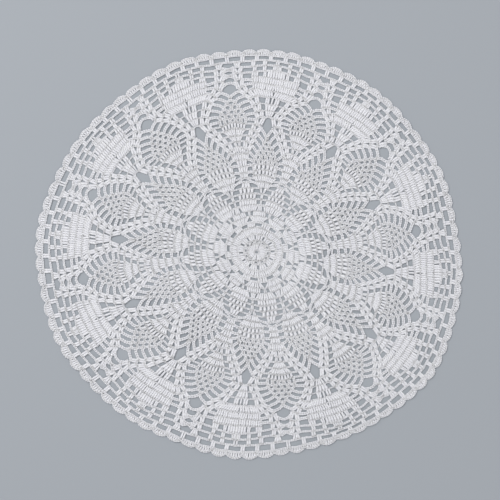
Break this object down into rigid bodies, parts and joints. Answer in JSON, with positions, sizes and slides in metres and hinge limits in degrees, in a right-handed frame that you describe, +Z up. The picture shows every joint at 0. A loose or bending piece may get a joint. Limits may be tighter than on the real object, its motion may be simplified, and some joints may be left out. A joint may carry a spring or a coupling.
{
  "type": "lace doily",
  "caption": "Round crocheted pineapple lace doily in white cotton with a scalloped edge, lying flat.",
  "frame": {"origin": "middle of the outline's box, on the surface that the doily lies on", "axes": "+Z up, out of the side that shows; +X to the right and +Y to the top as the doily is seen from above"},
  "size_m": [0.3978, 0.3824, 0.0015],
  "materials": {
    "crochet_cotton": "matte"
  },
  "bodies": {
    "root": {"doily": "crochet_cotton"}
  },
  "joints": []
}
